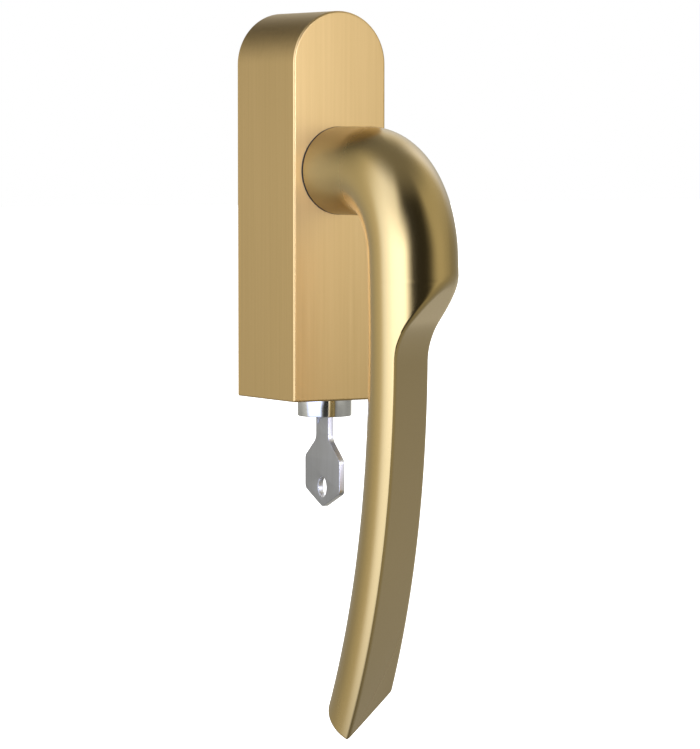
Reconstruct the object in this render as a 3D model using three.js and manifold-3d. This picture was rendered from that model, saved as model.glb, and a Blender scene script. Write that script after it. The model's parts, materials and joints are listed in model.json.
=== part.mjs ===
// A keyed tilt-and-turn window handle: a deep brass rose with a round top, a bent lever on a square
// spindle, and a key-operated lock that pushes a bolt into the handle's detent disc.
// Millimetres. +X is right seen from the room, -Y points into the room, +Z is up.
// The origin is on the spindle's axis, in the plane where the rose meets the window sash.
import * as THREE from "three";
import { ConvexGeometry } from "three/addons/geometries/ConvexGeometry.js";
import { mergeVertices } from "three/addons/utils/BufferGeometryUtils.js";
import Module from "manifold-3d";

const wasm = await Module();
wasm.setup();

// Rose
const roseWidth = 27;
const roseTop = 40.8;
const roseBottom = -59.2;
const roseFront = -30;
const roseWall = 1.1;
const gap = 0.3;

// Standard window fixing
const screwSpacing = 43;
const spindleSide = 7;
const spindleBack = 15;
const fixingScrewTip = 14;

// Lever: a round bar that leaves the rose, turns down through the elbow and curves back to the wall
const barRadius = 11.3;
const leverProjection = 36.5;
const elbowRadius = 22.1;
const gripLean = -0.058; // outward slope where the elbow ends
const gripBend = 0.0012; // quadratic term of the grip's curve, per mm
const gripCurl = 6.2e-6; // cubic term, per mm squared
const gripDrop = 140;
const leverY = roseFront - leverProjection;

// The scoop that turns the round grip into a half-round one
const scoopTurn = THREE.MathUtils.degToRad(37); // its normal, turned from -Y towards +X
const scoopOffset = -0.5; // the flat lies this far behind the bar's centre line
const scoopEnd = -48; // height where the flat begins
const scoopRadius = 18;
const scoopSlope = THREE.MathUtils.degToRad(37);

// The oblique cut at the lever's tip, given by its lowest point and its slopes
const tipPoint = new THREE.Vector3(-9.3, -50.4, -143.6);
const tipSlopeX = 0.19;
const tipSlopeY = 0.76;

// Bearing of the handle in the rose
const spigotRadius = 7;
const spigotEnd = -23.9;
const socketSide = spindleSide + 0.5;

// Mechanism
const plateBack = -0.9;
const plateFront = -4.6;
const chassisFront = -23.7;
const coverPlateFront = -25.2;
const bodyInset = 1.5;
const discRadius = 9.8;
const discFront = -22.5;
const discBack = -17.5;
const discNotchFloor = -6;
const plateScrewX = 9.6;
const plateScrewZ = { upper: 12, lower: -11.5 };
const plateScrewHole = 1.5;
const chassisScrewZ = { upper: 33, lower: -38 };
const chassisScrewHole = 1.7;
const fixingScrewZ = { upper: screwSpacing / 2, lower: -screwSpacing / 2 };
const fixingScrewHead = -12.3;
const fixingScrewHole = 2.8;
const lugRadius = 5;
const lugHeight = 2.8;
const coverScrewY = -8;
const coverScrewHole = 1.7;
const barrelScrewZ = -50;
const barrelScrewHole = 1.8;
const ballRadius = 1.5;
const ballCircle = 7.6;
const trackDepth = 0.6;
const detentHoleEnd = -6;

// Lock
const lockY = -22.1;
const barrelRadius = 6.7;
const barrelBottom = -63;
const barrelTop = -42;
const plugRadius = 4.75;
const plugBore = 5;
const keywayTurn = THREE.MathUtils.degToRad(-6); // the keyway stands a little off square
const waferCount = 5;
const waferPitch = 2.8;
const firstWafer = -59;
const boltTravel = 3.7;
const camBase = -40;
const rampStart = 38; // degrees, where the ramp is lowest
const rampSweep = 140;
const rampStep = 14;

// Key
const keyThickness = 1.5;
const bladeHalf = 3.4;
const bladeTip = -44.6;
const stemHalf = 4;
const stemTop = -63.3;
const bowTop = -69.4;
const bowHalf = 11.1;
const bowShoulder = -74;
const bowHip = -82.3;
const bowBottom = -86.4;
const bitDepth = 0.8;
const ringHoleZ = -82;
const ringHoleRadius = 2.7;

function finish(color, roughness, metalness) {
  return new THREE.MeshStandardMaterial({ color, roughness, metalness });
}
const brushedBrass = finish(0xdcbb86, 0.4, 1);
const satinBrass = finish(0xb8a066, 0.3, 1);
const nickel = finish(0xd0d0d2, 0.12, 1);
const keySteel = finish(0x9a9a9c, 0.35, 1);
const zinc = finish(0x9fa3a6, 0.5, 1);
const steel = finish(0xb8babd, 0.35, 1);
const springSteel = finish(0x8d9093, 0.3, 1);
const nylon = finish(0x2b2b2c, 0.6, 0);
const foam = finish(0x2c2c2e, 0.9, 0);

function toSolid(geometry) {
  const bare = geometry.clone();
  bare.deleteAttribute("normal");
  bare.deleteAttribute("uv");
  const merged = mergeVertices(bare, 1e-4);
  return new wasm.Manifold(
    new wasm.Mesh({
      numProp: 3,
      vertProperties: merged.attributes.position.array,
      triVerts: new Uint32Array(merged.index.array),
    }),
  );
}

function toGeometry(solid) {
  const mesh = solid.getMesh();
  const geometry = new THREE.BufferGeometry();
  geometry.setAttribute("position", new THREE.BufferAttribute(mesh.vertProperties, 3));
  geometry.setIndex(new THREE.BufferAttribute(mesh.triVerts, 1));
  return geometry;
}

function join(first, ...others) {
  return toGeometry(others.reduce((solid, other) => solid.add(toSolid(other)), toSolid(first)));
}

function cut(first, ...others) {
  return toGeometry(others.reduce((solid, other) => solid.subtract(toSolid(other)), toSolid(first)));
}

// A box between two corners.
function box(x0, x1, y0, y1, z0, z1) {
  const geometry = new THREE.BoxGeometry(x1 - x0, y1 - y0, z1 - z0);
  return geometry.translate((x0 + x1) / 2, (y0 + y1) / 2, (z0 + z1) / 2);
}

// A round bar along Y through (x, z).
function rodY(radius, y0, y1, x = 0, z = 0, sides = 28) {
  const geometry = new THREE.CylinderGeometry(radius, radius, y1 - y0, sides);
  return geometry.translate(x, (y0 + y1) / 2, z);
}

// A round bar along Z through (x, y).
function rodZ(radius, z0, z1, x = 0, y = 0, sides = 28) {
  const geometry = new THREE.CylinderGeometry(radius, radius, z1 - z0, sides);
  return geometry.rotateX(Math.PI / 2).translate(x, y, (z0 + z1) / 2);
}

// The rose's outline, round at the top and square below, moved inwards by inset.
function roseOutline(inset) {
  const half = roseWidth / 2 - inset;
  const shape = new THREE.Shape();
  shape.moveTo(-half, roseBottom + inset);
  shape.lineTo(half, roseBottom + inset);
  shape.absarc(0, roseTop - roseWidth / 2, half, 0, Math.PI, false);
  shape.closePath();
  return shape;
}

// An outline in the X-Z plane, made solid from y = back to y = front.
function slab(outline, back, front) {
  const settings = { depth: back - front, bevelEnabled: false, curveSegments: 24 };
  return new THREE.ExtrudeGeometry(outline, settings).rotateX(Math.PI / 2).translate(0, back, 0);
}

// A compression spring along +Z from z = 0.
class Helix extends THREE.Curve {
  constructor(radius, length, turns) {
    super();
    Object.assign(this, { radius, length, turns });
  }
  getPoint(t, target = new THREE.Vector3()) {
    const angle = 2 * Math.PI * this.turns * t;
    return target.set(this.radius * Math.cos(angle), this.radius * Math.sin(angle), this.length * t);
  }
}

function coil(radius, wire, length, turns) {
  const section = new THREE.Shape().absarc(0, 0, wire, 0, 2 * Math.PI, false);
  const helix = new Helix(radius, length - 2 * wire, turns);
  const settings = { steps: turns * 10, curveSegments: 3, extrudePath: helix };
  return new THREE.ExtrudeGeometry(section, settings).translate(0, 0, wire);
}

function roseCover() {
  return cut(
    slab(roseOutline(0), 0, roseFront),
    slab(roseOutline(roseWall), 1, roseFront + roseWall),
    rodY(8.7, roseFront - 1, roseFront + 2),
    rodZ(barrelRadius + 0.25, roseBottom - 1, roseBottom + 2, 0, lockY),
    rodZ(coverScrewHole, roseBottom - 1, roseBottom + 2, 0, coverScrewY, 12),
  );
}

// The lever's centre line: straight neck, round elbow, then a grip that curves back to the wall.
class LeverPath extends THREE.Curve {
  constructor() {
    super();
    this.neck = leverProjection - elbowRadius - 0.35;
    this.sweep = Math.PI / 2 + Math.atan(gripLean);
    this.elbow = elbowRadius * this.sweep;
    this.total = this.neck + this.elbow + gripDrop;
  }
  getPoint(t, target = new THREE.Vector3()) {
    const along = t * this.total;
    if (along < this.neck) return target.set(0, roseFront - 0.35 - along, 0);
    const turn = Math.min((along - this.neck) / elbowRadius, this.sweep);
    const y = leverY + elbowRadius * (1 - Math.sin(turn));
    const z = elbowRadius * (Math.cos(turn) - 1);
    const drop = Math.max(along - this.neck - this.elbow, 0);
    return target.set(0, y + gripCurve(drop), z - drop);
  }
}

function gripCurve(drop) {
  return gripLean * drop + gripBend * drop ** 2 + gripCurl * drop ** 3;
}

// Everything on the open side of the scoop's profile, drawn as distance along the flat's normal and height.
function scoopTool() {
  const elbowEnd = elbowRadius * (Math.cos(Math.PI / 2 + Math.atan(gripLean)) - 1);
  const flatAt = (z) => -(leverY + gripCurve(elbowEnd - z)) * Math.cos(scoopTurn) + scoopOffset;
  const outside = -leverY + 40;
  const shape = new THREE.Shape();
  shape.moveTo(outside, -170);
  for (let z = -170; z < scoopEnd; z += 8) shape.lineTo(flatAt(z), z);
  const arcSteps = 5;
  for (let step = 0; step <= arcSteps; step++) {
    const turn = (scoopSlope * step) / arcSteps;
    const rise = scoopRadius * Math.sin(turn);
    shape.lineTo(flatAt(scoopEnd) + scoopRadius * (1 - Math.cos(turn)), scoopEnd + rise);
  }
  const run = 14;
  shape.lineTo(shape.currentPoint.x + run * Math.tan(scoopSlope), shape.currentPoint.y + run);
  shape.lineTo(outside, shape.currentPoint.y);
  const width = 200;
  const normal = new THREE.Vector3(Math.sin(scoopTurn), -Math.cos(scoopTurn), 0);
  const up = new THREE.Vector3(0, 0, 1);
  const across = new THREE.Vector3().crossVectors(normal, up);
  const frame = new THREE.Matrix4().makeBasis(normal, up, across);
  const tool = new THREE.ExtrudeGeometry(shape, { depth: width, bevelEnabled: false });
  return tool.translate(0, 0, -width / 2).applyMatrix4(frame);
}

function tipTool() {
  const size = 60;
  const normal = new THREE.Vector3(-tipSlopeX, -tipSlopeY, 1).normalize();
  const turn = new THREE.Quaternion().setFromUnitVectors(new THREE.Vector3(0, 0, 1), normal);
  const centre = tipPoint.clone().addScaledVector(normal, -size / 2);
  const tool = new THREE.BoxGeometry(size, size, size).applyQuaternion(turn);
  return tool.translate(centre.x, centre.y, centre.z);
}

function leverHandle() {
  const section = new THREE.Shape().absarc(0, 0, barRadius, 0, 2 * Math.PI, false);
  const settings = { steps: 52, curveSegments: 14, extrudePath: new LeverPath() };
  const bar = new THREE.ExtrudeGeometry(section, settings);
  const half = socketSide / 2;
  return cut(
    join(bar, rodY(spigotRadius, roseFront - 1, spigotEnd)),
    scoopTool(),
    tipTool(),
    box(-half, half, -46, spigotEnd + 1, -half, half),
    rodZ(2.6, -14, -3, 0, -37, 16),
    cut(rodY(spigotRadius + 1, -27.1, -25.9), rodY(6, -28, -25)),
  );
}

function handleGrubScrew() {
  return cut(rodZ(2.3, -10.6, -3.8, 0, 0, 16), rodZ(1.3, -12, -8.2, 0, 0, 6));
}

function neckBush() {
  const sleeve = rodY(8.4, roseFront + 0.1, -27.4);
  const flange = rodY(10, roseFront + roseWall + gap, -27.4);
  return cut(join(sleeve, flange), rodY(spigotRadius + 0.2, -31, -27));
}

function retainingRing() {
  return cut(rodY(8.4, -0.4, 0.4), rodY(6.3, -1, 1), box(-2, 2, -1, 1, 0, 10));
}

function thrustWasher() {
  return cut(rodY(7.2, -0.35, 0.35), rodY(5.3, -1, 1));
}

// The disc turns with the spindle. Four rim notches take the locking bolt, and its back has a ball track
// with a dimple at every quarter turn.
function detentDisc() {
  const half = socketSide / 2;
  const track = cut(
    rodY(ballCircle + 1.5, discBack - trackDepth, discBack + 1),
    rodY(ballCircle - 1.5, discBack - 2, discBack + 2),
  );
  const tools = [box(-half, half, discFront - 1, discBack + 1, -half, half), track];
  for (let quarter = 0; quarter < 4; quarter++) {
    const turn = (quarter * Math.PI) / 2;
    const notch = box(-2.7, 2.7, discFront - 1, discBack + 1, -discRadius - 1, discNotchFloor).rotateY(turn);
    const dimple = new THREE.SphereGeometry(1.4, 10, 6).translate(ballCircle, discBack - 0.3, 0);
    tools.push(notch, dimple.rotateY(turn));
  }
  return cut(rodY(discRadius, discFront, discBack, 0, 0, 48), ...tools);
}

function chassis() {
  const tools = [
    rodY(discRadius + 0.5, chassisFront - 1, discBack + gap, 0, 0, 40),
    rodY(5.4, discBack - 1, 0),
    box(-7.9, 7.9, chassisFront - 1, -19.2, -37, -8),
    box(7, 10.5, chassisFront - 1, -19.2, -31.6, -14.7),
    rodZ(6.2, -41.6, -33.5, 0, lockY),
    rodZ(barrelRadius + 0.25, roseBottom - 1, -41.5, 0, lockY),
    rodY(barrelScrewHole, -20, 0, 0, barrelScrewZ, 12),
    rodZ(coverScrewHole, roseBottom - 1, -52, 0, coverScrewY, 12),
  ];
  for (const end of ["upper", "lower"]) {
    tools.push(rodY(lugRadius, chassisFront - 1, -9, 0, fixingScrewZ[end]));
    tools.push(rodY(fixingScrewHole, -10, 0, 0, fixingScrewZ[end], 16));
    tools.push(rodY(chassisScrewHole, -14, 0, 0, chassisScrewZ[end], 12));
  }
  for (const side of [-1, 1]) {
    tools.push(rodY(ballRadius + 0.15, discBack - 1, detentHoleEnd, side * ballCircle, 0, 16));
    tools.push(...plateScrewHoles(side * plateScrewX, chassisFront - 1, -17));
  }
  return cut(slab(roseOutline(bodyInset), plateFront - gap, chassisFront), ...tools);
}

function plateScrewHoles(x, front, back) {
  return Object.values(plateScrewZ).map((z) => rodY(plateScrewHole, front, back, x, z, 12));
}

// It stops above the locking bolt's foot, and the fixing screws are reached through it.
function coverPlate() {
  const tools = [rodY(7.4, -27, -23), box(-20, 20, -27, -23, -70, -32.8)];
  for (const z of Object.values(fixingScrewZ)) tools.push(rodY(lugRadius, -27, -23, 0, z));
  for (const side of [-1, 1]) tools.push(...plateScrewHoles(side * plateScrewX, -27, -23));
  return cut(slab(roseOutline(bodyInset), chassisFront - gap, coverPlateFront), ...tools);
}

function basePlate() {
  const plate = slab(roseOutline(bodyInset), plateBack, plateFront);
  const lugs = [];
  const tools = [rodY(5.6, -6, 1), rodY(barrelScrewHole, -6, 1, 0, barrelScrewZ, 12)];
  for (const end of ["upper", "lower"]) {
    lugs.push(rodY(lugRadius, plateBack - 1, lugHeight, 0, fixingScrewZ[end]));
    tools.push(rodY(fixingScrewHole, -6, 4, 0, fixingScrewZ[end], 16));
    tools.push(rodY(chassisScrewHole, -6, 1, 0, chassisScrewZ[end], 12));
    tools.push(rodY(3, -2.9, 1, 0, chassisScrewZ[end], 16));
  }
  return cut(join(plate, ...lugs), ...tools);
}

function gasket() {
  const holes = [rodY(5.8, -2, 1)];
  for (const z of Object.values(fixingScrewZ)) holes.push(rodY(lugRadius + gap, -2, 1, 0, z));
  return cut(slab(roseOutline(bodyInset), 0, -0.6), ...holes);
}

// A screw along Y, its head towards -Y at y = 0, with a cross recess.
function screw(headRadius, headHeight, shankRadius, length) {
  const recess = headRadius * 0.6;
  const slot = headRadius * 0.14;
  return cut(
    join(rodY(headRadius, 0, headHeight, 0, 0, 16), rodY(shankRadius, headHeight - 0.5, length, 0, 0, 12)),
    box(-recess, recess, -1, headHeight / 2, -slot, slot),
    box(-slot, slot, -1, headHeight / 2, -recess, recess),
  );
}

function lockBarrel() {
  return cut(
    rodZ(barrelRadius, barrelBottom, barrelTop, 0, 0, 48),
    rodZ(plugBore, barrelBottom - 1, barrelTop + 1, 0, 0, 32),
  );
}

function lockPlug() {
  const tools = [box(-0.95, 0.95, -3.7, 3.7, barrelBottom - 1, -44)];
  for (let index = 0; index < waferCount; index++) {
    const z = firstWafer + index * waferPitch;
    tools.push(box(-2.4, 2.4, -6, 6, z - 0.65, z + 0.65));
  }
  const tail = box(-1.5, 1.5, -1.5, 1.5, barrelTop, -37);
  return cut(join(rodZ(plugRadius, barrelBottom + gap, -41.3), tail), ...tools);
}

function wafer() {
  return cut(box(-2.2, 2.2, -4.1, 4.1, -0.45, 0.45), box(-1, 1, -3.65, 3.65, -1, 1));
}

// The cam's upper face is a ramp round the plug's axis: turning the key drives the bolt's foot up it.
function lockCam() {
  const slices = [];
  const rise = (sweep) => (boltTravel * sweep) / 90 + 0.4;
  for (let sweep = 0; sweep < rampSweep; sweep += rampStep) {
    const corners = [];
    for (const edge of [sweep, sweep + rampStep]) {
      const angle = THREE.MathUtils.degToRad(rampStart - edge);
      for (const radius of [2.7, 4.6]) {
        for (const z of [camBase - 0.5, camBase - 0.4 + rise(edge)]) {
          corners.push(new THREE.Vector3(radius * Math.cos(angle), radius * Math.sin(angle), z));
        }
      }
    }
    slices.push(new ConvexGeometry(corners));
  }
  return cut(join(rodZ(4.6, -41, camBase), ...slices), box(-1.8, 1.8, -1.8, 1.8, -43, -30));
}

// A flat frame that slides up into a notch of the disc. It leaves the lower fixing screw reachable.
function lockingBolt() {
  const back = -19.6;
  const front = -22;
  const frame = cut(
    box(-7.5, 7.5, front, back, -33.9, -14.2),
    box(-5.4, 5.4, front - 1, back + 1, -31, -17),
  );
  const nose = box(-2.2, 2.2, front, back, -15, -10.3);
  const springTab = box(7, 10.2, front, back, -31.3, -28.6);
  const foot = box(3, 4.6, front, -20, -38.2, -33);
  return join(frame, nose, springTab, foot);
}

// A closed outline through corners of [y, z, round], each one cut back by its round and curved.
function roundedOutline(corners) {
  const points = corners.map(([y, z]) => new THREE.Vector2(y, z));
  const from = (corner, other, distance) => other.clone().sub(corner).setLength(distance).add(corner);
  const shape = new THREE.Shape();
  points.forEach((corner, index) => {
    const round = corners[index][2];
    const before = from(corner, points.at(index - 1), round);
    const after = from(corner, points[(index + 1) % points.length], round);
    if (index === 0) shape.moveTo(before.x, before.y);
    else shape.lineTo(before.x, before.y);
    if (round > 0) shape.quadraticCurveTo(corner.x, corner.y, after.x, after.y);
  });
  shape.closePath();
  return shape;
}

// The key's right half from the blade's tip down to the bow: bitting, shoulder, stem and bow.
function keyHalf() {
  const corners = [[2, bladeTip - 1.4, 0]];
  for (let index = waferCount - 1; index >= 0; index--) {
    const z = firstWafer + index * waferPitch;
    corners.push([bladeHalf, z + 1.1, 0], [bladeHalf - bitDepth, z, 0], [bladeHalf, z - 1.1, 0]);
  }
  corners.push([bladeHalf, stemTop, 0], [stemHalf, stemTop, 0], [stemHalf, bowTop, 1.2]);
  corners.push([bowHalf, bowShoulder, 1.5], [bowHalf, bowHip, 1.5]);
  return corners;
}

function key() {
  const half = keyHalf();
  const mirrored = half.map(([y, z, round]) => [-y, z, round]).reverse();
  const outline = roundedOutline([...half, [0, bowBottom, 2], ...mirrored, [0, bladeTip, 0]]);
  outline.holes.push(new THREE.Path().absarc(0, ringHoleZ, ringHoleRadius, 0, 2 * Math.PI, false));
  const settings = { depth: keyThickness, bevelEnabled: false, curveSegments: 8 };
  const flat = new THREE.ExtrudeGeometry(outline, settings).translate(0, 0, -keyThickness / 2);
  const acrossX = new THREE.Matrix4().set(0, 0, 1, 0, 1, 0, 0, 0, 0, 1, 0, 0, 0, 0, 0, 1);
  return flat.applyMatrix4(acrossX);
}

const lock = new THREE.Group();
lock.position.set(0, lockY, 0);
const plugGroup = new THREE.Group();
plugGroup.rotation.z = keywayTurn;
lock.add(plugGroup);
const part = new THREE.Group();
part.add(lock);

function add(parent, name, material, geometry, x = 0, y = 0, z = 0) {
  const mesh = new THREE.Mesh(geometry, material);
  mesh.name = name;
  mesh.position.set(x, y, z);
  parent.add(mesh);
  return mesh;
}

// Case
add(part, "rose_cover", brushedBrass, roseCover());
add(part, "neck_bush", nylon, neckBush());
add(part, "cover_plate", steel, coverPlate());
add(part, "chassis", zinc, chassis());
add(part, "base_plate", zinc, basePlate());
add(part, "mounting_gasket", foam, gasket());

// Handle
add(part, "lever_handle", satinBrass, leverHandle());
add(part, "handle_grub_screw", steel, handleGrubScrew(), 0, -37, 0);
add(part, "retaining_ring", springSteel, retainingRing(), 0, -26.5, 0);
add(part, "thrust_washer", steel, thrustWasher(), 0, -23.2, 0);
add(part, "detent_disc", steel, detentDisc());
const spindleHalf = spindleSide / 2;
const spindle = box(-spindleHalf, spindleHalf, -45.5, spindleBack, -spindleHalf, spindleHalf);
add(part, "square_spindle", steel, spindle);

// Detents
for (const [name, side] of [["left", -1], ["right", 1]]) {
  const ball = new THREE.SphereGeometry(ballRadius, 16, 12);
  const x = side * ballCircle;
  add(part, "detent_ball_" + name, steel, ball, x, discBack - trackDepth + ballRadius + 0.1, 0);
  const spring = coil(1.05, 0.25, 8.2, 6);
  add(part, "detent_spring_" + name, springSteel, spring, x, detentHoleEnd - 0.2, 0).rotation.x = Math.PI / 2;
}

// Screws
for (const end of ["upper", "lower"]) {
  const fixing = screw(4.6, 3, 2.45, fixingScrewTip - fixingScrewHead);
  add(part, "fixing_screw_" + end, steel, fixing, 0, fixingScrewHead, fixingScrewZ[end]);
  const holding = screw(2.6, 1.4, 1.4, 11);
  add(part, "chassis_screw_" + end, steel, holding, 0, -1.2, chassisScrewZ[end]).rotation.x = Math.PI;
  for (const [edge, x] of [["left", -plateScrewX], ["right", plateScrewX]]) {
    const small = screw(2, 1.1, 1.2, 7);
    add(part, `plate_screw_${end}_${edge}`, steel, small, x, coverPlateFront - gap - 1.1, plateScrewZ[end]);
  }
}
const coverScrew = cut(rodZ(1.4, 0, 6, 0, 0, 12), rodZ(0.7, -1, 2, 0, 0, 6));
add(part, "cover_grub_screw", steel, coverScrew, 0, coverScrewY, roseBottom + gap);
const barrelScrew = cut(rodY(1.5, -15.1, -6, 0, 0, 12), rodY(0.8, -8, -5, 0, 0, 6));
add(part, "barrel_grub_screw", steel, barrelScrew, 0, 0, barrelScrewZ);

// Lock
add(lock, "lock_barrel", nickel, lockBarrel());
add(plugGroup, "lock_plug", nickel, lockPlug());
add(plugGroup, "lock_cam", steel, lockCam());
for (let index = 0; index < waferCount; index++) {
  add(plugGroup, `wafer_${index + 1}`, satinBrass, wafer(), 0, 0, firstWafer + index * waferPitch);
}
add(plugGroup, "key", keySteel, key());
add(part, "locking_bolt", steel, lockingBolt());
add(part, "bolt_spring", springSteel, coil(1.1, 0.25, 13.1, 9), 8.95, -21, -28.3);

export default part;
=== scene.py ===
# Looks of a keyed tilt-and-turn window handle: brushed brass rose, satin brass lever, nickel lock and key.
import json
import math

import bmesh
import bpy
from mathutils import Matrix, Vector


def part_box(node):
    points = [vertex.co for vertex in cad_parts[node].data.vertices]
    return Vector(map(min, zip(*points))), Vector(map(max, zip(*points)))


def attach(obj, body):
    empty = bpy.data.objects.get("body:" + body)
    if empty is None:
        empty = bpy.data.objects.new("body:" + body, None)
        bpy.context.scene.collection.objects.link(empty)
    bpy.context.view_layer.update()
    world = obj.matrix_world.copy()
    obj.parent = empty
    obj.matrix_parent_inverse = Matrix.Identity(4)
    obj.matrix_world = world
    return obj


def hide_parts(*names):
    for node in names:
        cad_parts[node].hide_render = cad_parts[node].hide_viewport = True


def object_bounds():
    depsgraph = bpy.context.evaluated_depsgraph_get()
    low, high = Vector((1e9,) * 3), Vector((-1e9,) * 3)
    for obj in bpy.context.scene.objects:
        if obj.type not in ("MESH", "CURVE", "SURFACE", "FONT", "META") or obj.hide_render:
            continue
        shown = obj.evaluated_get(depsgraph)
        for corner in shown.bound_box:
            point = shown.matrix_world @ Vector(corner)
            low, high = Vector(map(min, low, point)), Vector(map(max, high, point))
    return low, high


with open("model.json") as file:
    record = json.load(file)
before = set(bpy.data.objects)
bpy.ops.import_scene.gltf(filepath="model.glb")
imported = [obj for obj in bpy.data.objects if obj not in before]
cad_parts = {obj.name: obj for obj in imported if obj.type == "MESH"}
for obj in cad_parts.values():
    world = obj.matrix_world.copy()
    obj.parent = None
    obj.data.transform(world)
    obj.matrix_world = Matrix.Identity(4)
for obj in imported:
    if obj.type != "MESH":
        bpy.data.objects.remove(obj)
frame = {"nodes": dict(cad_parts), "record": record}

CAD_BOX = [list(corner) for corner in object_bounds()]
MM = 0.001
X, Y, Z = Vector((1, 0, 0)), Vector((0, 1, 0)), Vector((0, 0, 1))

# Places taken from the frame, in metres
ROSE_LOW, ROSE_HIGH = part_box("rose_cover")
BARREL_LOW, BARREL_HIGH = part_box("lock_barrel")
ROSE_HALF = ROSE_HIGH.x
ROSE_FRONT = ROSE_LOW.y
LOCK_Y = (BARREL_LOW.y + BARREL_HIGH.y) / 2

# Rose
ROSE_WALL = 1.1 * MM
ROSE_FILLET = 0.55 * MM
ROSE_CORNER = 0.5 * MM
LEAST_CORNER = 0.1 * MM
INSIDE_CORNER = 0.2 * MM
GASKET_DEPTH = 1 * MM
FILLET_STEPS = 6
ARCH_STEPS = 64
NECK_HOLE = 8.7 * MM
BARREL_HOLE = 6.95 * MM
GRUB_HOLE = 1.7 * MM
GRUB_HOLE_Y = -8 * MM

# Lever, with the same driving sizes as the CAD part
BAR_RADIUS = 11.3 * MM
PROJECTION = 36.5 * MM
ELBOW_RADIUS = 22.1 * MM
GRIP_LEAN = -0.058
GRIP_BEND = 0.0012 / MM
GRIP_CURL = 6.2e-6 / MM**2
GRIP_DROP = 140 * MM
LEVER_Y = ROSE_FRONT - PROJECTION
NECK_GAP = 0.6 * MM
NECK_DULL_LENGTH = 26 * MM
NECK_DULL_ROUGHNESS = 0.32
SPIGOT_RADIUS = 7 * MM
SPIGOT_END = ROSE_FRONT + 6.1 * MM
LEVER_EDGE = 0.25 * MM
SCOOP_TURN = math.radians(37)
SCOOP_OFFSET = -0.5 * MM
SCOOP_END = -48 * MM
SCOOP_RADIUS = 18 * MM
SCOOP_SLOPE = math.radians(37)
TIP_POINT = Vector((-9.3, -50.4, -143.6)) * MM
TIP_SLOPES = (0.19, 0.76)

# Rounding of the two creases between the scoop and the bar. Sections are worked out round a point CORE_SHIFT
# off the centre line. CREASE_SPAN and LEAST_CREASE are angles.
CORE_SHIFT = 4 * MM
CREASE_ROUND = 1.7 * MM
CREASE_SPAN = 0.08
LEAST_CREASE = 0.12

# The lever's skin: points round each part of a section, sections along it, and where the tip's rows begin
PART_STEPS = (30, 8, 72, 8)
SECTIONS = 300
STRAIGHT_ROWS = 180
TIP_ROWS = 100

# Bush in the rose that the neck turns in
BUSH_FLANGE = 10 * MM
BUSH_SLEEVE = 8.4 * MM
BUSH_BORE = 7.2 * MM
BUSH_GAP = 0.3 * MM
# The lip fills the gap between the neck and the rose with black nylon: painted shade for the shadow in that
# gap.
SHADE_LIP_RADIUS = BAR_RADIUS + 0.02 * MM
SHADE_LIP_BACK = ROSE_FRONT - 0.06 * MM
SHADE_LIP_FRONT = ROSE_FRONT - NECK_GAP + 0.1 * MM

# Light tent: brightness by azimuth in degrees (0 is the room side, 90 is +X) on three rings, then straight up
# and straight down. Between rings it blends by the sine of the elevation.
TENT_RADIUS = 0.5
TENT_GAIN = 3.0
RING_START = -210
LOW_RING = ((-210, 0.45), (-180, 0.35), (-150, 0.38), (-115, 0.68), (-102, 1.35), (-92, 1.55), (-50, 1.4),
            (-42, 0.3), (-34, 0.04), (0, 0.04), (15, 0.2), (30, 0.35), (60, 0.4), (85, 0.36), (113, 0.36),
            (124, 0.7), (145, 0.6))
MIDDLE_RING = ((-210, 0.6), (-180, 0.42), (-155, 0.5), (-120, 0.8), (-106, 1.5), (-92, 1.85), (-80, 2.4),
               (-48, 2.7), (-40, 1.3), (-32, 0.08), (-24, 0.03), (4, 0.03), (14, 0.12), (22, 0.4), (32, 0.65),
               (44, 0.65), (60, 0.5), (80, 0.33), (108, 0.33), (130, 0.48))
HIGH_RING = ((-210, 0.5), (-180, 0.05), (-165, 0.02), (-150, 0.15), (-120, 0.75), (-105, 1.2), (-90, 1.45),
             (-62, 1.35), (-48, 0.2), (-40, 0.03), (4, 0.03), (16, 0.25), (24, 0.6), (60, 0.6), (90, 0.65),
             (112, 1.2), (130, 0.9))
TOP_LIGHT = 0.25
BOTTOM_LIGHT = 0.12
LOW_SINE, MIDDLE_SINE, HIGH_SINE = -0.3, 0.08, 0.7
WARM = (1.0, 0.97, 0.84)
COOL = (1.0, 1.1, 1.5)
COOL_FROM, COOL_FULL = 0.8, 1.4

# A soft box in front, for the rose and key only
FRONT_LIGHT_AZIMUTH = math.radians(5)
FRONT_LIGHT_RISE = 0.035
FRONT_LIGHT_DISTANCE = 0.35
FRONT_LIGHT_SIZE = 0.14
FRONT_LIGHT_POWER = 0.48
FRONT_LIGHT_COLOUR = (0.95, 1.0, 1.38)

# Floor
FLOOR_HALF = 30
FLOOR_GREY = 0.94

# Camera
CAMERA_AZIMUTH = math.radians(-30)
CAMERA_RISE = math.radians(3.55)
CAMERA_TARGET = Vector((3.01 * MM, ROSE_FRONT, -52.5 * MM))
CAMERA_DISTANCE = 1.004
CAMERA_LENS = 200.4

# Barrel, whose collar covers the hole in the rose
BARREL_DROP = 0.5 * MM
BARREL_BORE = 5 * MM
BARREL_CHAMFER = 0.3 * MM
COLLAR_RIM = 0.3 * MM
COLLAR_TOP = ROSE_LOW.z - 0.05 * MM

# Key. Lengths without MM are in millimetres from the lock's axis.
KEYWAY_TURN = math.radians(-6)
KEY_THICKNESS = 1.5 * MM
KEY_EDGE = 0.12 * MM
STEM_TOP = -63.3
RING_HOLE_Z = -82.0
RING_HOLE_RADIUS = 2.7
BITTING_TOP, BITTING_PITCH, BITTING_DEPTH, BITTING_HALF = -47.8, 2.8, 0.8, 1.1

# Milled grooves along the blade: which face, the two edges across the blade and how far each runs down
KEY_GROOVES = ((-1, 1.7, 3.0, -66.0), (-1, 0.2, 0.8, -64.8), (1, -2.9, -1.6, -66.0))
GROOVE_DEPTH = 0.45 * MM
GROOVE_TOP = -40 * MM

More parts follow.
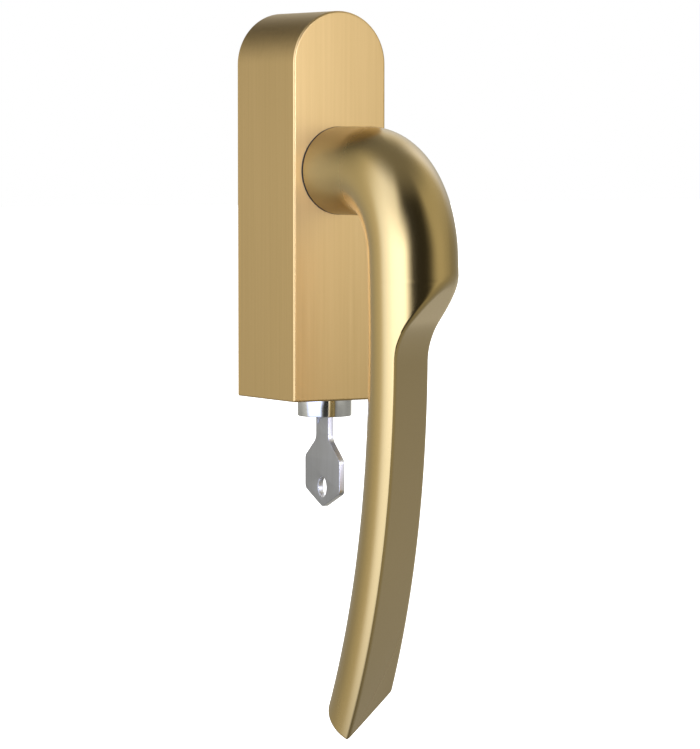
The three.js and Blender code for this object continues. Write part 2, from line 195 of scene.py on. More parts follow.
# Screw threads
THREAD_PITCH = 0.8 * MM
THREAD_DEPTH = 0.45 * MM
THREAD_LEAD = 1.2 * MM


# ---------------------------------------------------------------- materials

def new_material(name):
    material = bpy.data.materials.new(name)
    material.use_nodes = True
    nodes = material.node_tree.nodes
    nodes.clear()
    shader = nodes.new("ShaderNodeBsdfPrincipled")
    output = nodes.new("ShaderNodeOutputMaterial")
    material.node_tree.links.new(shader.outputs[0], output.inputs[0])
    return material, nodes, material.node_tree.links, shader


def stretched_noise(nodes, links, scale, stretch, detail=3.0):
    """Noise in object space, drawn out along the axes with a small stretch factor."""
    coords = nodes.new("ShaderNodeTexCoord")
    mapping = nodes.new("ShaderNodeMapping")
    mapping.inputs["Scale"].default_value = stretch
    noise = nodes.new("ShaderNodeTexNoise")
    noise.inputs["Scale"].default_value = scale
    noise.inputs["Detail"].default_value = detail
    noise.inputs["Roughness"].default_value = 0.55
    links.new(coords.outputs["Object"], mapping.inputs["Vector"])
    links.new(mapping.outputs[0], noise.inputs["Vector"])
    return noise.outputs["Fac"]


def ramp(nodes, links, source, stops):
    node = nodes.new("ShaderNodeValToRGB")
    elements = node.color_ramp.elements
    while len(elements) < len(stops):
        elements.new(0.5)
    for element, (place, colour) in zip(elements, stops):
        element.position = place
        element.color = (*colour, 1)
    links.new(source, node.inputs["Fac"])
    return node.outputs["Color"]


def grey(value):
    return (value, value, value)


def bump(nodes, links, source, strength, distance, shader):
    node = nodes.new("ShaderNodeBump")
    node.inputs["Strength"].default_value = strength
    node.inputs["Distance"].default_value = distance
    links.new(source, node.inputs["Height"])
    links.new(node.outputs[0], shader.inputs["Normal"])


def metal(name, dark, light, rough, grain_scale, grain_stretch, strength, distance, lacquer=0.0):
    """A metal whose colour, roughness and relief follow one grain. Lacquer is the weight of its clear coat."""
    material, nodes, links, shader = new_material(name)
    shader.inputs["Metallic"].default_value = 1.0
    shader.inputs["Coat Weight"].default_value = lacquer
    shader.inputs["Coat Roughness"].default_value = 0.25
    grain = stretched_noise(nodes, links, grain_scale, grain_stretch)
    links.new(ramp(nodes, links, grain, [(0.3, dark), (0.7, light)]), shader.inputs["Base Color"])
    low, high = rough
    rough_stops = [(0.25, grey(low)), (0.75, grey(high))]
    links.new(ramp(nodes, links, grain, rough_stops), shader.inputs["Roughness"])
    bump(nodes, links, grain, strength, distance, shader)
    return material


def plain(name, colour, rough, metallic=0.0, scale=900, strength=0.15):
    """A cast, moulded or plated finish with a fine speckle."""
    material, nodes, links, shader = new_material(name)
    shader.inputs["Metallic"].default_value = metallic
    speckle = stretched_noise(nodes, links, scale, (1, 1, 1), detail=4)
    dark = tuple(0.86 * c for c in colour)
    links.new(ramp(nodes, links, speckle, [(0.3, dark), (0.7, colour)]), shader.inputs["Base Color"])
    rough_stops = [(0.3, grey(rough * 0.85)), (0.7, grey(min(1, rough * 1.15)))]
    links.new(ramp(nodes, links, speckle, rough_stops), shader.inputs["Roughness"])
    bump(nodes, links, speckle, strength, 0.05 * MM, shader)
    return material


def key_steel():
    """Nickel-plated flat stock: satin rolled faces and bright stamped edges."""
    material, nodes, links, shader = new_material("key_steel")
    shader.inputs["Metallic"].default_value = 1.0
    grain = stretched_noise(nodes, links, 900, (1, 1, 0.1))
    coords = nodes.new("ShaderNodeTexCoord")
    across = nodes.new("ShaderNodeVectorMath")
    across.operation = "DOT_PRODUCT"
    across.inputs[1].default_value = (math.cos(KEYWAY_TURN), math.sin(KEYWAY_TURN), 0)
    links.new(coords.outputs["Normal"], across.inputs[0])
    facing = nodes.new("ShaderNodeMath")
    facing.operation = "ABSOLUTE"
    links.new(across.outputs["Value"], facing.inputs[0])
    face = ramp(nodes, links, grain, [(0.3, (0.53, 0.54, 0.585)), (0.7, (0.58, 0.59, 0.635))])
    mix = nodes.new("ShaderNodeMix")
    mix.data_type = "RGBA"
    mix.inputs["A"].default_value = (*grey(0.96), 1)
    links.new(face, mix.inputs["B"])
    links.new(ramp(nodes, links, facing.outputs[0], [(0.5, grey(0)), (0.9, grey(1))]), mix.inputs["Factor"])
    links.new(mix.outputs["Result"], shader.inputs["Base Color"])
    links.new(ramp(nodes, links, grain, [(0.25, grey(0.3)), (0.75, grey(0.4))]), shader.inputs["Roughness"])
    bump(nodes, links, grain, 0.1, 0.01 * MM, shader)
    return material


def lever_brass():
    """Satin brass, brushed less finely on the neck than on the grip."""
    material = metal("satin_brass", (0.57, 0.41, 0.155), (0.59, 0.425, 0.165), (0.2, 0.23),
                     2600, (1, 1, 1), 0.05, 0.01 * MM, 0.6)
    nodes, links = material.node_tree.nodes, material.node_tree.links
    shader = nodes["Principled BSDF"]
    fine = shader.inputs["Roughness"].links[0].from_socket
    coords = nodes.new("ShaderNodeTexCoord")
    split = nodes.new("ShaderNodeSeparateXYZ")
    links.new(coords.outputs["Object"], split.inputs[0])
    extra = nodes.new("ShaderNodeMapRange")
    extra.interpolation_type = "SMOOTHSTEP"
    extra.inputs["From Min"].default_value = ROSE_FRONT - NECK_DULL_LENGTH
    extra.inputs["From Max"].default_value = ROSE_FRONT
    extra.inputs["To Max"].default_value = NECK_DULL_ROUGHNESS
    links.new(split.outputs["Y"], extra.inputs["Value"])
    total = nodes.new("ShaderNodeMath")
    links.new(fine, total.inputs[0])
    links.new(extra.outputs[0], total.inputs[1])
    links.new(total.outputs[0], shader.inputs["Roughness"])
    return material


MATERIALS = {
    "brushed_brass": metal("brushed_brass", (0.715, 0.487, 0.183), (0.755, 0.522, 0.205), (0.35, 0.41),
                           1500, (1, 1, 0.012), 0.06, 0.02 * MM, 0.6),
    "satin_brass": lever_brass(),
    "nickel": metal("nickel", (0.70, 0.71, 0.74), (0.78, 0.79, 0.82), (0.08, 0.14),
                    800, (1, 1, 6), 0.04, 0.01 * MM),
    "key_steel": key_steel(),
    "zinc": plain("zinc", (0.45, 0.46, 0.47), 0.55, 1.0, 700, 0.3),
    "steel": metal("steel", (0.50, 0.51, 0.52), (0.62, 0.63, 0.64), (0.25, 0.38),
                   900, (1, 1, 1), 0.1, 0.02 * MM),
    "screw_steel": plain("screw_steel", (0.62, 0.62, 0.58), 0.3, 1.0),
    "spring_steel": plain("spring_steel", (0.42, 0.43, 0.44), 0.3, 1.0),
    "wafer_brass": plain("wafer_brass", (0.72, 0.55, 0.28), 0.35, 1.0),
    # Black nylon: a real dark bush, and on the neck ring's lip also painted shade for the gap at the neck's
    # base.
    "nylon": plain("nylon", (0.03, 0.03, 0.031), 0.5),
    "gasket": plain("gasket", (0.03, 0.03, 0.032), 0.85, 0.0, 1600, 0.5),
}


# ---------------------------------------------------------------- mesh helpers

def mesh_piece(name, verts, faces, slot, body, node=None):
    mesh = bpy.data.meshes.new(name)
    mesh.from_pydata([tuple(v) for v in verts], [], faces)
    return dress(name, mesh, slot, body, node)


def dress(name, mesh, slot, body, node=None):
    """Turns a mesh into a piece of the model, with its material, body, slot and the CAD node it replaces."""
    mesh.validate()
    solid = bmesh.new()
    solid.from_mesh(mesh)
    bmesh.ops.remove_doubles(solid, verts=solid.verts, dist=1e-7)
    bmesh.ops.recalc_face_normals(solid, faces=solid.faces)
    solid.to_mesh(mesh)
    solid.free()
    mesh.shade_smooth()
    mesh.set_sharp_from_angle(angle=math.radians(30))
    mesh.materials.clear()
    mesh.materials.append(MATERIALS[slot])
    piece = bpy.data.objects.new(name, mesh)
    bpy.context.scene.collection.objects.link(piece)
    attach(piece, body)
    if node:
        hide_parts(node)
    return piece


def scratch(verts, faces):
    """A temporary object for a boolean."""
    mesh = bpy.data.meshes.new("scratch")
    mesh.from_pydata([tuple(v) for v in verts], [], faces)
    solid = bmesh.new()
    solid.from_mesh(mesh)
    bmesh.ops.recalc_face_normals(solid, faces=solid.faces)
    solid.to_mesh(mesh)
    solid.free()
    item = bpy.data.objects.new("scratch", mesh)
    bpy.context.scene.collection.objects.link(item)
    return item


def cut(base, tools):
    """Cuts scratch objects out of another and gives back the final mesh."""
    for tool in tools:
        modifier = base.modifiers.new("boolean", "BOOLEAN")
        modifier.operation = "DIFFERENCE"
        modifier.solver = "EXACT"
        modifier.object = tool
        bpy.context.view_layer.update()
        evaluated = base.evaluated_get(bpy.context.evaluated_depsgraph_get())
        result = bpy.data.meshes.new_from_object(evaluated)
        base.modifiers.clear()
        base.data = result
        bpy.data.objects.remove(tool)
    mesh = base.data.copy()
    bpy.data.objects.remove(base)
    return mesh


def loft(rings):
    """Verts and faces of a closed skin through rings with the same number of points."""
    count = len(rings[0])
    verts = [point for ring in rings for point in ring]
    faces = []
    for row in range(len(rings) - 1):
        for i in range(count):
            j = (i + 1) % count
            a, b = row * count, (row + 1) * count
            faces.append((a + i, a + j, b + j, b + i))
    faces.append(tuple(range(count))[::-1])
    faces.append(tuple((len(rings) - 1) * count + i for i in range(count)))
    return verts, faces


def circle(radius, centre, across, up, sides):
    step = 2 * math.pi / sides
    return [centre + radius * (math.cos(i * step) * across + math.sin(i * step) * up) for i in range(sides)]


def rod(radius, start, end, axis="y", sides=64):
    """A round bar between two points on a line along Y or Z."""
    across, up = {"y": (X, Z), "z": (X, Y)}[axis]
    return loft([circle(radius, Vector(point), across, up, sides) for point in (start, end)])


def block(low, high):
    x0, y0, z0 = low
    x1, y1, z1 = high
    lower = [Vector((x0, y0, z0)), Vector((x1, y0, z0)), Vector((x1, y1, z0)), Vector((x0, y1, z0))]
    return loft([lower, [corner + Vector((0, 0, z1 - z0)) for corner in lower]])


# ---------------------------------------------------------------- rose

def rose_ring(inset, y, corner):
    """The rose's outline at depth y, moved inwards by inset, with its lower corners rounded."""
    half = ROSE_HALF - inset
    bottom = ROSE_LOW.z + inset
    centre = ROSE_HIGH.z - ROSE_HALF
    points = []
    for side, start in ((-1, math.pi), (1, 1.5 * math.pi)):
        for step in range(FILLET_STEPS + 1):
            angle = start + step / FILLET_STEPS * math.pi / 2
            points.append(Vector((side * (half - corner) + corner * math.cos(angle), y,
                                  bottom + corner + corner * math.sin(angle))))
    for step in range(ARCH_STEPS + 1):
        angle = math.pi * step / ARCH_STEPS
        points.append(Vector((half * math.cos(angle), y, centre + half * math.sin(angle))))
    return points


def rose():
    """The rose's shell, open at the back, with holes for the neck, the barrel and a grub screw."""
    rings = [rose_ring(0, ROSE_HIGH.y, ROSE_CORNER)]
    for step in range(FILLET_STEPS + 1):
        angle = step / FILLET_STEPS * math.pi / 2
        inset = ROSE_FILLET * (1 - math.cos(angle))
        y = ROSE_FRONT + ROSE_FILLET * (1 - math.sin(angle))
        rings.append(rose_ring(inset, y, max(ROSE_CORNER - inset, LEAST_CORNER)))
    body = scratch(*loft(rings))
    inside = scratch(*loft([rose_ring(ROSE_WALL, y, INSIDE_CORNER)
                            for y in (GASKET_DEPTH, ROSE_FRONT + ROSE_WALL)]))
    neck_hole = scratch(*rod(NECK_HOLE, (0, ROSE_FRONT - MM, 0), (0, ROSE_FRONT + 2 * MM, 0)))
    low = ROSE_LOW.z - MM
    high = ROSE_LOW.z + 2 * MM
    barrel_hole = scratch(*rod(BARREL_HOLE, (0, LOCK_Y, low), (0, LOCK_Y, high), "z"))
    screw_hole = scratch(*rod(GRUB_HOLE, (0, GRUB_HOLE_Y, low), (0, GRUB_HOLE_Y, high), "z", 32))
    mesh = cut(body, [inside, neck_hole, barrel_hole, screw_hole])
    piece = dress("rose", mesh, "brushed_brass", "housing", "rose_cover")
    modifier = piece.modifiers.new("flat_faces", "WEIGHTED_NORMAL")
    modifier.keep_sharp = True
    modifier.weight = 100
    return piece


# ---------------------------------------------------------------- lever

def grip_curve(drop):
    return GRIP_LEAN * drop + GRIP_BEND * drop**2 + GRIP_CURL * drop**3


NECK_LENGTH = PROJECTION - ELBOW_RADIUS - NECK_GAP
ELBOW_SWEEP = math.pi / 2 + math.atan(GRIP_LEAN)
ELBOW_END = ELBOW_RADIUS * (math.cos(ELBOW_SWEEP) - 1)


def path_point(along):
    """The lever's centre line: straight neck, round elbow, curved grip."""
    if along < NECK_LENGTH:
        return Vector((0, ROSE_FRONT - NECK_GAP - along, 0))
    turn = min((along - NECK_LENGTH) / ELBOW_RADIUS, ELBOW_SWEEP)
    y = LEVER_Y + ELBOW_RADIUS * (1 - math.sin(turn))
    z = ELBOW_RADIUS * (math.cos(turn) - 1)
    drop = max(along - NECK_LENGTH - ELBOW_RADIUS * ELBOW_SWEEP, 0)
    return Vector((0, y + grip_curve(drop), z - drop))


def scoop_height(z):
    """How far out the scoop's surface lies at height z: the flat, then a round run-out, then a slope."""
    if z <= SCOOP_END:
        return -(LEVER_Y + grip_curve(ELBOW_END - z)) * math.cos(SCOOP_TURN) + SCOOP_OFFSET
    start = scoop_height(SCOOP_END)
    rise = z - SCOOP_END
    bend = SCOOP_RADIUS * math.sin(SCOOP_SLOPE)
    if rise <= bend:
        return start + SCOOP_RADIUS * (1 - math.cos(math.asin(rise / SCOOP_RADIUS)))
    return start + SCOOP_RADIUS * (1 - math.cos(SCOOP_SLOPE)) + (rise - bend) * math.tan(SCOOP_SLOPE)


SCOOP_NORMAL = Vector((math.sin(SCOOP_TURN), -math.cos(SCOOP_TURN), 0))


def solve(function, low, high, steps=26):
    """Where a rising function crosses zero between low and high."""
    for _ in range(steps):
        middle = (low + high) / 2
        if function(middle) > 0:
            high = middle
        else:
            low = middle
    return (low + high) / 2


class Section:
    """The lever's section at a length along its centre line: a circle cut by the scoop, with round creases."""

    def __init__(self, along):
        tiny = 0.01 * MM
        self.centre = path_point(along)
        tangent = (path_point(along + tiny) - path_point(max(along - tiny, 0))).normalized()
        self.out = (SCOOP_NORMAL - SCOOP_NORMAL.dot(tangent) * tangent).normalized()
        self.side = tangent.cross(self.out)
        self.core = self.centre - CORE_SHIFT * self.out
        self.creases = [max(self.crease(sign), LEAST_CREASE) for sign in (1, -1)]

    def ray(self, angle):
        return math.cos(angle) * self.out + math.sin(angle) * self.side

    def to_circle(self, angle):
        reach = CORE_SHIFT * math.cos(angle)
        return reach + math.sqrt(reach**2 - CORE_SHIFT**2 + BAR_RADIUS**2)

    def to_scoop(self, angle):
        ray = self.ray(angle)

        def outside(distance):
            point = self.core + distance * ray
            return SCOOP_NORMAL.dot(point) - scoop_height(point.z)
        far = 3 * BAR_RADIUS
        return solve(outside, 0, far) if outside(far) > 0 else far

    def crease(self, sign):
        def past(angle):
            return self.to_scoop(sign * angle) - self.to_circle(sign * angle)
        return 0 if past(0) > 0 else solve(past, 0, math.pi * 0.8)

    def point(self, place):
        """place runs from 0 to 4: the flat, the first crease, the round back, the second crease."""
        first, second = self.creases
        stops = [-second + CREASE_SPAN, first - CREASE_SPAN, first + CREASE_SPAN,
                 2 * math.pi - second - CREASE_SPAN, 2 * math.pi - second + CREASE_SPAN]
        part = min(int(place), 3)
        angle = stops[part] + (stops[part + 1] - stops[part]) * (place - part)
        circle_at, scoop_at = self.to_circle(angle), self.to_scoop(angle)
        blend = max(CREASE_ROUND - abs(circle_at - scoop_at), 0) / CREASE_ROUND
        return self.core + (min(circle_at, scoop_at) - blend**2 * CREASE_ROUND / 4) * self.ray(angle)


COLUMNS = [part + step / count for part, count in enumerate(PART_STEPS) for step in range(count)]
PATH_LENGTH = NECK_LENGTH + ELBOW_RADIUS * ELBOW_SWEEP + GRIP_DROP
TIP_NORMAL = Vector((-TIP_SLOPES[0], -TIP_SLOPES[1], 1)).normalized()


def tip_row(skin, column):
    """The row at which a column meets the oblique cut at the tip, as a number with a fraction."""
    heights = [TIP_NORMAL.dot(row[column] - TIP_POINT) for row in skin]
    last = max(i for i, height in enumerate(heights) if height > 0)
    return last + heights[last] / (heights[last] - heights[last + 1])


def between(skin, row, column):
    low = min(int(row), SECTIONS - 1)
    return skin[low][column].lerp(skin[low + 1][column], row - low)


def lever():
    """A skin of rings along the bar, with the spigot at its start and the oblique cut at its tip."""
    skin = []
    for step in range(SECTIONS + 1):
        section = Section(PATH_LENGTH * step / SECTIONS)
        skin.append([section.point(place) for place in COLUMNS])
    start = path_point(0)
    neck = [point - start for point in skin[0]]
    rings = [[Vector((0, SPIGOT_END, 0)) + v * (SPIGOT_RADIUS / v.length) for v in neck]]
    for radius in (SPIGOT_RADIUS, BAR_RADIUS - LEVER_EDGE):
        rings.append([start + v * (radius / v.length) for v in neck])
    rings.append([point + Vector((0, -LEVER_EDGE, 0)) for point in skin[0]])
    rings += skin[1:STRAIGHT_ROWS]
    ends = [tip_row(skin, column) for column in range(len(COLUMNS))]
    for row in range(TIP_ROWS):
        rings.append([between(skin, STRAIGHT_ROWS + (end - STRAIGHT_ROWS) * row / TIP_ROWS, column)
                      for column, end in enumerate(ends)])
    cap = [between(skin, end, column) for column, end in enumerate(ends)]
    middle = sum(cap, Vector()) / len(cap)
    row_length = PATH_LENGTH / SECTIONS
    for degrees in (0, 30, 60, 90):
        angle = math.radians(degrees)
        back = LEVER_EDGE * (1 - math.sin(angle)) / row_length
        inward = LEVER_EDGE * (1 - math.cos(angle))
        rings.append([between(skin, end - back, column) + (middle - cap[column]).normalized() * inward
                      for column, end in enumerate(ends)])
    return mesh_piece("lever", *loft(rings), "satin_brass", "handle", "lever_handle")


def neck_ring():
    """The bush that the neck turns in, of black nylon, with a black lip that fills the gap between the lever
    and the rose as painted shade for the shadow in that gap.
    """
    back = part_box("neck_bush")[1].y
    shoulder = ROSE_FRONT + ROSE_WALL + BUSH_GAP
    profile = ((BUSH_FLANGE, back), (BUSH_FLANGE, shoulder), (BUSH_SLEEVE, shoulder), (BUSH_SLEEVE, SHADE_LIP_BACK),
               (SHADE_LIP_RADIUS, SHADE_LIP_BACK), (SHADE_LIP_RADIUS, SHADE_LIP_FRONT))
    body = scratch(*loft([circle(radius, Vector((0, y, 0)), X, Z, 96) for radius, y in profile]))
    hole = scratch(*rod(BUSH_BORE, (0, ROSE_FRONT - 2 * MM, 0), (0, back + MM, 0), sides=96))
    return dress("neck_ring", cut(body, [hole]), "nylon", "housing", "neck_bush")


# ---------------------------------------------------------------- lock and key

def turn_about_lock(points):
    centre = Vector((0, LOCK_Y, 0))
    turn = Matrix.Rotation(KEYWAY_TURN, 3, "Z")
    return [turn @ (p - centre) + centre for p in points]


def barrel():
    """The lock's housing, with a collar under the rose."""
    low, high = BARREL_LOW.z - BARREL_DROP, BARREL_HIGH.z
    radius = BARREL_HIGH.x
    collar = radius + COLLAR_RIM
    soft = 0.3 * BARREL_CHAMFER
    profile = ((collar - BARREL_CHAMFER, low), (collar - soft, low + soft), (collar, low + BARREL_CHAMFER),
               (collar, COLLAR_TOP), (radius, COLLAR_TOP), (radius, high))
    body = scratch(*loft([circle(radius, Vector((0, LOCK_Y, z)), X, Y, 96) for radius, z in profile]))
    hole = scratch(*rod(BARREL_BORE, (0, LOCK_Y, low - MM), (0, LOCK_Y, high + MM), "z", 96))
    return dress("barrel", cut(body, [hole]), "nickel", "housing", "lock_barrel")


def key_outline():
    """The key's outline in the Y-Z plane, in millimetres from the lock's axis, and its round corners."""
    blade, stem, bow = 3.4, 4.0, 11.1
    right = [(stem, STEM_TOP, 0), (stem, -69.6, 2.5), (bow, -74.5, 1.6), (bow, -83.0, 1.6)]
    left = [(-y, z, r) for y, z, r in right]
    bottom = [(0, -87.2, 2.2)]
    cuts = []
    for index in reversed(range(5)):
        z = BITTING_TOP - BITTING_PITCH * index
        cuts += [(blade, z - BITTING_HALF, 0), (blade - BITTING_DEPTH, z, 0), (blade, z + BITTING_HALF, 0)]
    tip = [(2, -46, 0), (0, -44.6, 0.6), (-2, -46, 0)]
    other = [(-y, z, r) for y, z, r in reversed(cuts)]
    shoulder = [(-blade, STEM_TOP, 0)]
    return [(blade, STEM_TOP, 0)] + cuts + tip + other + shoulder + left + bottom + right[::-1]


def rounded(points, steps=6):
    """Replaces each corner that has a radius with an arc tangent to both its sides."""
    result = []
    for i, (y, z, radius) in enumerate(points):
        here = Vector((y, z))
        if radius == 0:
            result.append(here)
            continue
        before = (Vector(points[i - 1][:2]) - here).normalized()
        after = (Vector(points[(i + 1) % len(points)][:2]) - here).normalized()
        half = before.angle(after) / 2
        inward = (before + after).normalized()
        centre = here + inward * radius / math.sin(half)
        side = after - inward * after.dot(inward)
        side.normalize()
        reach = math.pi / 2 - half
        for step in range(steps + 1):
            angle = reach * (2 * step / steps - 1)
            result.append(centre + radius * (side * math.sin(angle) - inward * math.cos(angle)))
    return result


def groove(face, first, second, bottom):
    """A slot in one face of the flat key, which runs out on a slope at its lower end."""
    surface = face * KEY_THICKNESS / 2
    floor_at = face * (KEY_THICKNESS / 2 - GROOVE_DEPTH)
    outside = face * KEY_THICKNESS
    profile = [(floor_at, GROOVE_TOP), (floor_at, (bottom + 1.2) * MM), (surface, bottom * MM),
               (outside, (bottom - 1.0) * MM), (outside, GROOVE_TOP)]
    return loft([[Vector((across * MM, z, x)) for x, z in profile] for across in (first, second)])


def key():
    curve = bpy.data.curves.new("key", "CURVE")
    curve.dimensions = "2D"
    curve.fill_mode = "BOTH"
    curve.extrude = KEY_THICKNESS / 2 - KEY_EDGE
    curve.bevel_depth = KEY_EDGE
    curve.bevel_resolution = 2
    curve.offset = -KEY_EDGE
    ring = [(point.x, point.y) for point in circle(RING_HOLE_RADIUS, RING_HOLE_Z * Y, X, Y, 48)]
    for points in (rounded(key_outline()), ring):
        spline = curve.splines.new("POLY")
        spline.points.add(len(points) - 1)
        for place, point in zip(spline.points, points):
            place.co = (point[0] * MM, point[1] * MM, 0, 1)
        spline.use_cyclic_u = True
    flat = bpy.data.objects.new("key_curve", curve)
    bpy.context.scene.collection.objects.link(flat)
    bpy.context.view_layer.update()
    mesh = bpy.data.meshes.new_from_object(flat.evaluated_get(bpy.context.evaluated_depsgraph_get()))
    bpy.data.objects.remove(flat)
    solid = bmesh.new()
    solid.from_mesh(mesh)
    bmesh.ops.remove_doubles(solid, verts=solid.verts, dist=1e-6)
    bmesh.ops.recalc_face_normals(solid, faces=solid.faces)
    solid.to_mesh(mesh)
    solid.free()
    base = bpy.data.objects.new("key_blank", mesh)
    bpy.context.scene.collection.objects.link(base)
    mesh = cut(base, [scratch(*groove(*sizes)) for sizes in KEY_GROOVES])
    for vertex in mesh.vertices:
        y, z, x = vertex.co
        vertex.co = turn_about_lock([Vector((x, y + LOCK_Y, z))])[0]
    return dress("flat_key", mesh, "key_steel", "key", "key")


# ---------------------------------------------------------------- fixings

def threaded(radius, head_end, end, centre, sides=32, rows_per_turn=8):
    """Rings of a metric thread along +Y, with a tapered tip."""
    rows = round((end - head_end) / THREAD_PITCH * rows_per_turn)
    rings = []
    for row in range(rows + 1):
        y = head_end + (end - head_end) * row / rows
        taper = min((end - y) / THREAD_LEAD, 1)
        ring = []
        for i in range(sides):
            phase = (y / THREAD_PITCH - i / sides) % 1
            depth = THREAD_DEPTH * (1 - (1 - abs(2 * phase - 1)) * taper)
            angle = 2 * math.pi * i / sides
            across = radius - depth
            ring.append(Vector((centre.x + across * math.cos(angle), y, centre.z + across * math.sin(angle))))
        rings.append(ring)
    return rings


def fixing_screw(end):
    """A machine screw through the mounting lug, with a pan head and a cross recess."""
    node = "fixing_screw_" + end
    low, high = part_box(node)
    centre = (low + high) / 2
    head, head_height, shank, sides = high.x, 3 * MM, 2.45 * MM, 32
    rings = [circle(radius, Vector((0, y, centre.z)), X, Z, sides)
             for radius, y in ((head - 0.8 * MM, low.y), (head - 0.2 * MM, low.y + 0.35 * MM),
                               (head, low.y + 1.0 * MM), (head, low.y + head_height),
                               (shank, low.y + head_height))]
    rings += threaded(shank, low.y + head_height + 0.2 * MM, high.y, Vector((0, 0, centre.z)), sides)
    body = scratch(*loft(rings))
    wide, narrow, deep = 2.6 * MM, 0.6 * MM, 1.6 * MM
    slots = [block((-x, low.y - MM, centre.z - z), (x, low.y + deep, centre.z + z))
             for x, z in ((wide, narrow), (narrow, wide))]
    return dress("machine_screw_" + end, cut(body, [scratch(*slot) for slot in slots]), "screw_steel",
                 "housing", node)


def spindle():
    """Square bar with broken corners and chamfered ends."""
    low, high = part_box("square_spindle")
    corner, lead = 0.5 * MM, 0.9 * MM

    def ring(half, y):
        inner = half - corner
        points = [(half, -inner), (half, inner), (inner, half), (-inner, half),
                  (-half, inner), (-half, -inner), (-inner, -half), (inner, -half)]
        return [Vector((x, y, z)) for x, z in points]
    rings = [ring(high.x - lead, low.y), ring(high.x, low.y + lead), ring(high.x, high.y - lead),
             ring(high.x - lead, high.y)]
    return mesh_piece("spindle", *loft(rings), "steel", "handle", "square_spindle")


# ---------------------------------------------------------------- studio

def floor():
    """A wide, pale, softly glowing floor below the tent."""
    material, _, _, shader = new_material("floor")
    shader.inputs["Base Color"].default_value = (*grey(FLOOR_GREY), 1)
    shader.inputs["Roughness"].default_value = 0.9
    shader.inputs["Emission Color"].default_value = (*grey(FLOOR_GREY), 1)
    shader.inputs["Emission Strength"].default_value = 1.0
    height = CAD_BOX[0][2] - TENT_RADIUS
    corners = [(x * FLOOR_HALF, y * FLOOR_HALF, height) for x, y in ((-1, -1), (1, -1), (1, 1), (-1, 1))]
    mesh = bpy.data.meshes.new("floor")
    mesh.from_pydata(corners, [], [(0, 1, 2, 3)])
    mesh.materials.append(material)
    item = bpy.data.objects.new("floor", mesh)
    bpy.context.scene.collection.objects.link(item)


def light_tent():
    """A closed tent of soft bright and dark panels round the object. It lights the object and shows in its
    metal, and the camera does not see it."""
    mesh = bpy.data.meshes.new("light_tent")
    tent = bmesh.new()
    bmesh.ops.create_uvsphere(tent, u_segments=64, v_segments=48, radius=TENT_RADIUS)
    tent.to_mesh(mesh)
    tent.free()
    material = bpy.data.materials.new("light_tent")
    material.use_nodes = True
    nodes, links = material.node_tree.nodes, material.node_tree.links
    nodes.clear()
    coords = nodes.new("ShaderNodeTexCoord")
    mapping = nodes.new("ShaderNodeMapping")
    mapping.inputs["Rotation"].default_value = (0, 0, math.radians(-RING_START - 90))
    links.new(coords.outputs["Object"], mapping.inputs["Vector"])
    around = nodes.new("ShaderNodeTexGradient")
    around.gradient_type = "RADIAL"
    links.new(mapping.outputs[0], around.inputs["Vector"])
    unit = nodes.new("ShaderNodeVectorMath")
    unit.operation = "NORMALIZE"
    links.new(coords.outputs["Object"], unit.inputs[0])
    split = nodes.new("ShaderNodeSeparateXYZ")
    links.new(unit.outputs[0], split.inputs[0])

    def panel(value):
        """The bright panels are cool and the dim ones warm."""
        share = min(max((value - COOL_FROM) / (COOL_FULL - COOL_FROM), 0), 1)
        return tuple(value / TENT_GAIN * (warm + share * (cool - warm)) for warm, cool in zip(WARM, COOL))

    def ring(values):
        return ramp(nodes, links, around.outputs["Fac"],
                    [((azimuth - RING_START) / 360, panel(value)) for azimuth, value in values])

    def blend(start, end, below, above):
        """Turns from one colour to the other as the sine of the elevation goes from start to end."""
        amount = nodes.new("ShaderNodeMapRange")
        amount.interpolation_type = "SMOOTHSTEP"
        amount.inputs["From Min"].default_value = start
        amount.inputs["From Max"].default_value = end
        links.new(split.outputs["Z"], amount.inputs["Value"])
        node = nodes.new("ShaderNodeMix")
        node.data_type = "RGBA"
        links.new(amount.outputs[0], node.inputs["Factor"])
        for socket, colour in (("A", below), ("B", above)):
            if isinstance(colour, float):
                node.inputs[socket].default_value = (*grey(colour / TENT_GAIN), 1)
            else:
                links.new(colour, node.inputs[socket])
        return node.outputs["Result"]

    colour = blend(-1.0, LOW_SINE, BOTTOM_LIGHT, ring(LOW_RING))
    colour = blend(LOW_SINE, MIDDLE_SINE, colour, ring(MIDDLE_RING))
    colour = blend(MIDDLE_SINE, HIGH_SINE, colour, ring(HIGH_RING))
    colour = blend(HIGH_SINE, 1.0, colour, TOP_LIGHT)
    glow = nodes.new("ShaderNodeEmission")
    glow.inputs["Strength"].default_value = TENT_GAIN
    links.new(colour, glow.inputs["Color"])
    output = nodes.new("ShaderNodeOutputMaterial")
    links.new(glow.outputs[0], output.inputs[0])
    mesh.materials.append(material)
    item = bpy.data.objects.new("light_tent", mesh)
    item.location = (0, ROSE_FRONT, (CAD_BOX[0][2] + CAD_BOX[1][2]) / 2)
    bpy.context.scene.collection.objects.link(item)
    item.visible_camera = False


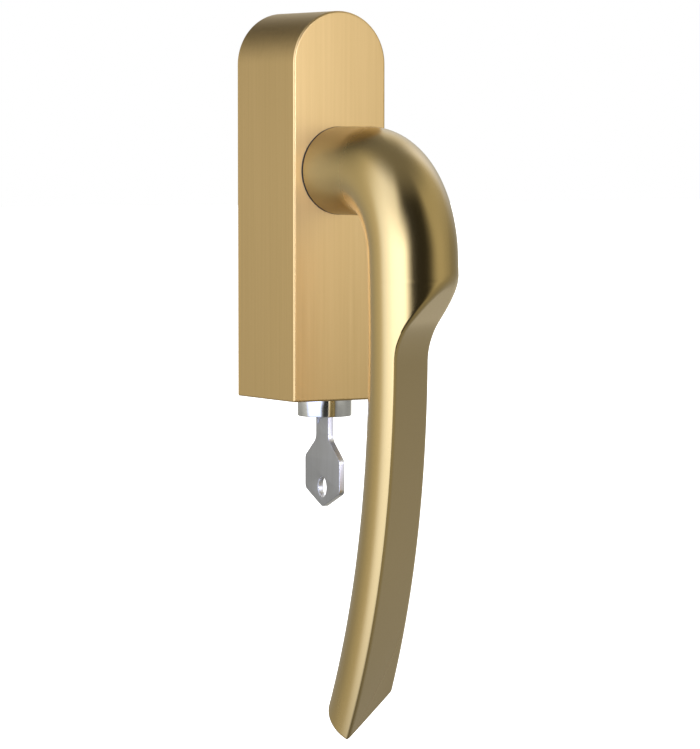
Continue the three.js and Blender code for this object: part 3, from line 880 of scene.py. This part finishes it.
def front_light(receivers):
    """A small soft box that lights only the pieces it is given."""
    data = bpy.data.lights.new("front_light", "AREA")
    data.shape = "DISK"
    data.size = FRONT_LIGHT_SIZE
    data.energy = FRONT_LIGHT_POWER
    data.color = FRONT_LIGHT_COLOUR
    item = bpy.data.objects.new("front_light", data)
    away = Vector((math.sin(FRONT_LIGHT_AZIMUTH), -math.cos(FRONT_LIGHT_AZIMUTH), 0))
    item.location = Vector((0, ROSE_FRONT, 0)) + away * FRONT_LIGHT_DISTANCE + Z * FRONT_LIGHT_RISE
    item.rotation_euler = (item.location - Vector((0, ROSE_FRONT, 0))).to_track_quat("Z", "Y").to_euler()
    bpy.context.scene.collection.objects.link(item)
    lit = bpy.data.collections.new("front_light_receivers")
    for piece in receivers:
        lit.objects.link(piece)
    item.light_linking.receiver_collection = lit
    item.light_linking.blocker_collection = lit


def studio():
    world = bpy.data.worlds.new("studio")
    world.use_nodes = True
    world.node_tree.nodes["Background"].inputs["Color"].default_value = (1, 1, 1, 1)
    world.node_tree.nodes["Background"].inputs["Strength"].default_value = 1.0
    bpy.context.scene.world = world
    floor()
    light_tent()


def camera():
    level = Vector((math.sin(CAMERA_AZIMUTH), -math.cos(CAMERA_AZIMUTH), 0))
    back = level * math.cos(CAMERA_RISE) + Z * math.sin(CAMERA_RISE)
    data = bpy.data.cameras.new("camera")
    data.sensor_fit = "HORIZONTAL"
    data.sensor_width = 36
    data.lens = CAMERA_LENS
    data.clip_end = 100
    item = bpy.data.objects.new("camera", data)
    item.location = CAMERA_TARGET + back * CAMERA_DISTANCE
    item.rotation_euler = back.to_track_quat("Z", "Y").to_euler()
    bpy.context.scene.collection.objects.link(item)
    bpy.context.scene.camera = item


# ---------------------------------------------------------------- scene

bpy.context.scene.view_settings.view_transform = "Standard"
for subpart in frame["record"]["subparts"]:
    mesh = frame["nodes"][subpart["node"]].data
    mesh.materials.clear()
    mesh.materials.append(MATERIALS[subpart["material_slot"]])
rose_piece = rose()
lever()
neck_ring()
barrel()
key_piece = key()
for end in ("upper", "lower"):
    fixing_screw(end)
spindle()
studio()
front_light([rose_piece, key_piece])
camera()
